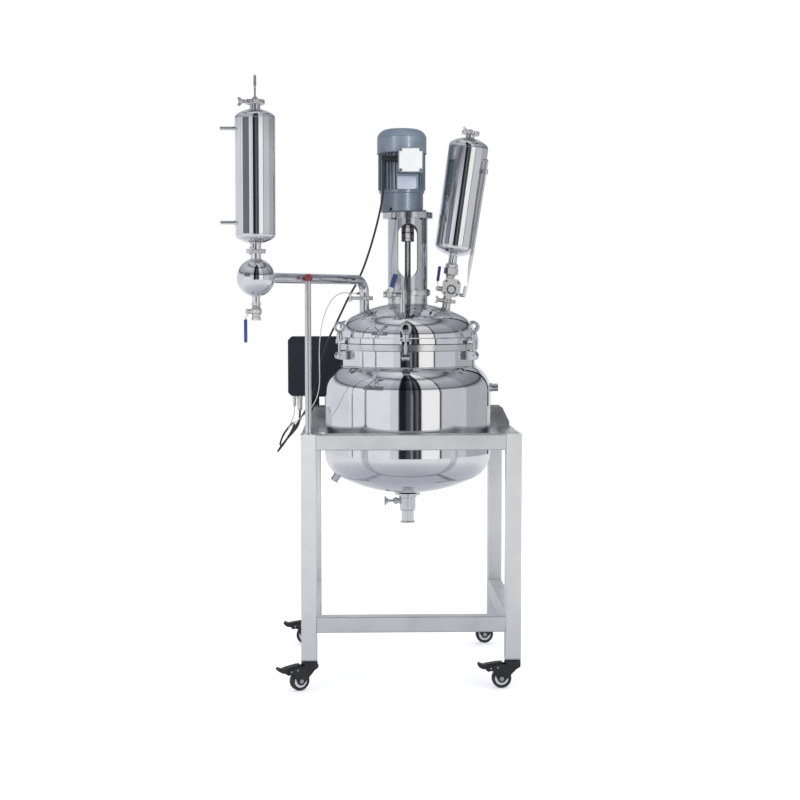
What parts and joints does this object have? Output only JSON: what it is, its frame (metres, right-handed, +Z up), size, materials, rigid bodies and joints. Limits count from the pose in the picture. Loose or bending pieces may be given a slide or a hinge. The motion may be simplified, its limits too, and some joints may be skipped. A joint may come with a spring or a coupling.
{
  "type": "jacketed stainless steel reactor",
  "caption": "Jacketed stainless steel stirred reactor on a caster frame, with clamped lid, gear motor, dosing tank, condenser and control box.",
  "frame": {"origin": "centre of the bounding box at floor level", "axes": "+Z up; the front with the terminal box and the open lower frame faces -Y; the condenser stands at the front left, towards -X"},
  "size_m": [0.933, 0.921, 1.915],
  "materials": {
    "frame_tube": "polished square tube",
    "zinc_plate": "satin plate",
    "black_plastic": "moulded black plastic",
    "wheel_plastic": "black nylon tread",
    "mirror_steel": "mirror polished stainless steel",
    "satin_steel": "satin stainless steel",
    "cast_steel": "cast stainless steel, dull",
    "gasket_rubber": "black rubber",
    "shaft_steel": "ground steel",
    "coupling_steel": "turned steel hubs with a dark elastic star",
    "motor_paint": "blue grey semi gloss paint",
    "cowl_paint": "blue grey semi gloss paint",
    "fan_plastic": "dark plastic",
    "blue_grip": "steel lever with a blue vinyl grip",
    "navy_grip": "steel lever with a dark blue vinyl grip",
    "box_paint": "near black enamel",
    "knob_plastic": "black plastic",
    "bracket_paint": "black paint",
    "gland_plastic": "dark grey nylon",
    "cable_rubber": "black cable sheath",
    "lead_sheath": "pale sheath",
    "cap_steel": "polished stainless steel"
  },
  "bodies": {
    "stand": {"frame_legs": "frame_tube", "frame_rails": "frame_tube", "caster_plates": "zinc_plate", "inner_vessel": "mirror_steel", "jacket_shell": "mirror_steel", "jacket_nozzles": "satin_steel", "body_flange": "satin_steel", "lid_gasket": "gasket_rubber", "lid_shell": "mirror_steel", "lid_ports": "satin_steel", "drain_valve_body": "satin_steel", "support_lugs": "satin_steel", "fixing_bolts": "zinc_plate", "seal_housing": "satin_steel", "stand_tube": "satin_steel", "gearbox": "motor_paint", "motor_housing": "motor_paint", "terminal_box": "motor_paint", "fan_cowl": "cowl_paint", "vapour_pipe": "mirror_steel", "vapour_ball": "mirror_steel", "condenser_shell": "mirror_steel", "thermometer": "cap_steel", "support_post": "satin_steel", "ferrule_clamps": "cast_steel", "valve_bodies": "cast_steel", "dosing_tank": "mirror_steel", "balance_tube": "cap_steel", "control_box": "box_paint", "box_bracket": "bracket_paint", "cable_glands": "gland_plastic", "motor_cable": "cable_rubber", "sensor_lead": "lead_sheath"},
    "stirrer": {"stirrer_shaft": "shaft_steel", "shaft_coupling": "coupling_steel", "anchor_stirrer": "satin_steel"},
    "fan": {"cooling_fan": "fan_plastic"},
    "drain_handle": {"drain_handle": "satin_steel"},
    "ball_drain_lever": {"ball_drain_lever": "blue_grip"},
    "dosing_lever": {"dosing_lever": "navy_grip"},
    "vent_lever": {"vent_lever": "blue_grip"},
    "control_knob": {"control_knob": "knob_plastic"},
    "swing_bolt_1": {"swing_bolt_1": "cap_steel"},
    "swing_bolt_2": {"swing_bolt_2": "cap_steel"},
    "swing_bolt_3": {"swing_bolt_3": "cap_steel"},
    "swing_bolt_4": {"swing_bolt_4": "cap_steel"},
    "swing_bolt_5": {"swing_bolt_5": "cap_steel"},
    "swing_bolt_6": {"swing_bolt_6": "cap_steel"},
    "fork_front_left": {"caster_fork_front_left": "black_plastic"},
    "wheel_front_left": {"caster_wheel_front_left": "wheel_plastic"},
    "pedal_front_left": {"caster_pedal_front_left": "black_plastic"},
    "fork_front_right": {"caster_fork_front_right": "black_plastic"},
    "wheel_front_right": {"caster_wheel_front_right": "wheel_plastic"},
    "pedal_front_right": {"caster_pedal_front_right": "black_plastic"},
    "fork_back_left": {"caster_fork_back_left": "black_plastic"},
    "wheel_back_left": {"caster_wheel_back_left": "wheel_plastic"},
    "pedal_back_left": {"caster_pedal_back_left": "black_plastic"},
    "fork_back_right": {"caster_fork_back_right": "black_plastic"},
    "wheel_back_right": {"caster_wheel_back_right": "wheel_plastic"},
    "pedal_back_right": {"caster_pedal_back_right": "black_plastic"}
  },
  "joints": [
    {"name": "stirrer_spin", "type": "hinge", "parent": "stand", "child": "stirrer", "pos_m": [0.115, 0.109, 1.29], "axis": [0, 0, 1], "continuous": true},
    {"name": "fan_spin", "type": "hinge", "parent": "stand", "child": "fan", "pos_m": [0.095, 0.109, 1.74], "axis": [0, 0, 1], "continuous": true},
    {"name": "drain_turn", "type": "hinge", "parent": "stand", "child": "drain_handle", "pos_m": [0.085, 0.109, 0.562], "axis": [1, 0, 0], "range_deg": [0, 90]},
    {"name": "ball_drain_turn", "type": "hinge", "parent": "stand", "child": "ball_drain_lever", "pos_m": [-0.375, -0.4, 1.206], "axis": [1, 0, 0], "range_deg": [0, 90]},
    {"name": "dosing_turn", "type": "hinge", "parent": "stand", "child": "dosing_lever", "pos_m": [0.22837, 0.109, 1.27856], "axis": [0.9903, 0, -0.1392], "range_deg": [0, 90]},
    {"name": "vent_turn", "type": "hinge", "parent": "stand", "child": "vent_lever", "pos_m": [0.05, -0.056, 1.259], "axis": [0, -1, 0], "range_deg": [0, 90]},
    {"name": "speed_turn", "type": "hinge", "parent": "stand", "child": "control_knob", "pos_m": [-0.206, 0.414, 0.9778], "axis": [0, 1, 0], "range_deg": [0, 270]},
    {"name": "clamp_swing_1", "type": "hinge", "parent": "stand", "child": "swing_bolt_1", "pos_m": [-0.11321, -0.00478, 1.058], "axis": [0.4462, -0.8949, 0], "range_deg": [0, 100]},
    {"name": "clamp_swing_2", "type": "hinge", "parent": "stand", "child": "swing_bolt_2", "pos_m": [0.09943, -0.14552, 1.058], "axis": [0.9981, -0.061, 0], "range_deg": [0, 100]},
    {"name": "clamp_swing_3", "type": "hinge", "parent": "stand", "child": "swing_bolt_3", "pos_m": [0.32764, -0.03174, 1.058], "axis": [0.5519, 0.8339, 0], "range_deg": [0, 100]},
    {"name": "clamp_swing_4", "type": "hinge", "parent": "stand", "child": "swing_bolt_4", "pos_m": [0.34321, 0.22278, 1.058], "axis": [-0.4462, 0.8949, 0], "range_deg": [0, 100]},
    {"name": "clamp_swing_5", "type": "hinge", "parent": "stand", "child": "swing_bolt_5", "pos_m": [0.13057, 0.36352, 1.058], "axis": [-0.9981, 0.061, 0], "range_deg": [0, 100]},
    {"name": "clamp_swing_6", "type": "hinge", "parent": "stand", "child": "swing_bolt_6", "pos_m": [-0.09764, 0.24974, 1.058], "axis": [-0.5519, -0.8339, 0], "range_deg": [0, 100]},
    {"name": "swivel_front_left", "type": "hinge", "parent": "stand", "child": "fork_front_left", "pos_m": [-0.21, -0.216, 0.083], "axis": [0, 0, 1], "continuous": true},
    {"name": "roll_front_left", "type": "hinge", "parent": "fork_front_left", "child": "wheel_front_left", "pos_m": [-0.24119, -0.23189, 0.0315], "axis": [0.454, -0.891, 0], "continuous": true},
    {"name": "brake_front_left", "type": "hinge", "parent": "fork_front_left", "child": "pedal_front_left", "pos_m": [-0.27237, -0.24778, 0.065], "axis": [0.454, -0.891, 0], "range_deg": [0, 12]},
    {"name": "swivel_front_right", "type": "hinge", "parent": "stand", "child": "fork_front_right", "pos_m": [0.44, -0.216, 0.083], "axis": [0, 0, 1], "continuous": true},
    {"name": "roll_front_right", "type": "hinge", "parent": "fork_front_right", "child": "wheel_front_right", "pos_m": [0.405, -0.216, 0.0315], "axis": [0, -1, 0], "continuous": true},
    {"name": "brake_front_right", "type": "hinge", "parent": "fork_front_right", "child": "pedal_front_right", "pos_m": [0.37, -0.216, 0.065], "axis": [0, -1, 0], "range_deg": [0, 12]},
    {"name": "swivel_back_left", "type": "hinge", "parent": "stand", "child": "fork_back_left", "pos_m": [-0.21, 0.434, 0.083], "axis": [0, 0, 1], "continuous": true},
    {"name": "roll_back_left", "type": "hinge", "parent": "fork_back_left", "child": "wheel_back_left", "pos_m": [-0.245, 0.434, 0.0315], "axis": [0, -1, 0], "continuous": true},
    {"name": "brake_back_left", "type": "hinge", "parent": "fork_back_left", "child": "pedal_back_left", "pos_m": [-0.28, 0.434, 0.065], "axis": [0, -1, 0], "range_deg": [0, 12]},
    {"name": "swivel_back_right", "type": "hinge", "parent": "stand", "child": "fork_back_right", "pos_m": [0.44, 0.434, 0.083], "axis": [0, 0, 1], "continuous": true},
    {"name": "roll_back_right", "type": "hinge", "parent": "fork_back_right", "child": "wheel_back_right", "pos_m": [0.40505, 0.43217, 0.0315], "axis": [0.0523, -0.9986, 0], "continuous": true},
    {"name": "brake_back_right", "type": "hinge", "parent": "fork_back_right", "child": "pedal_back_right", "pos_m": [0.3701, 0.43034, 0.065], "axis": [0.0523, -0.9986, 0], "range_deg": [0, 12]}
  ],
  "couplings": [
    {"joint": "fan_spin", "follows": "stirrer_spin", "ratio": 15}
  ]
}
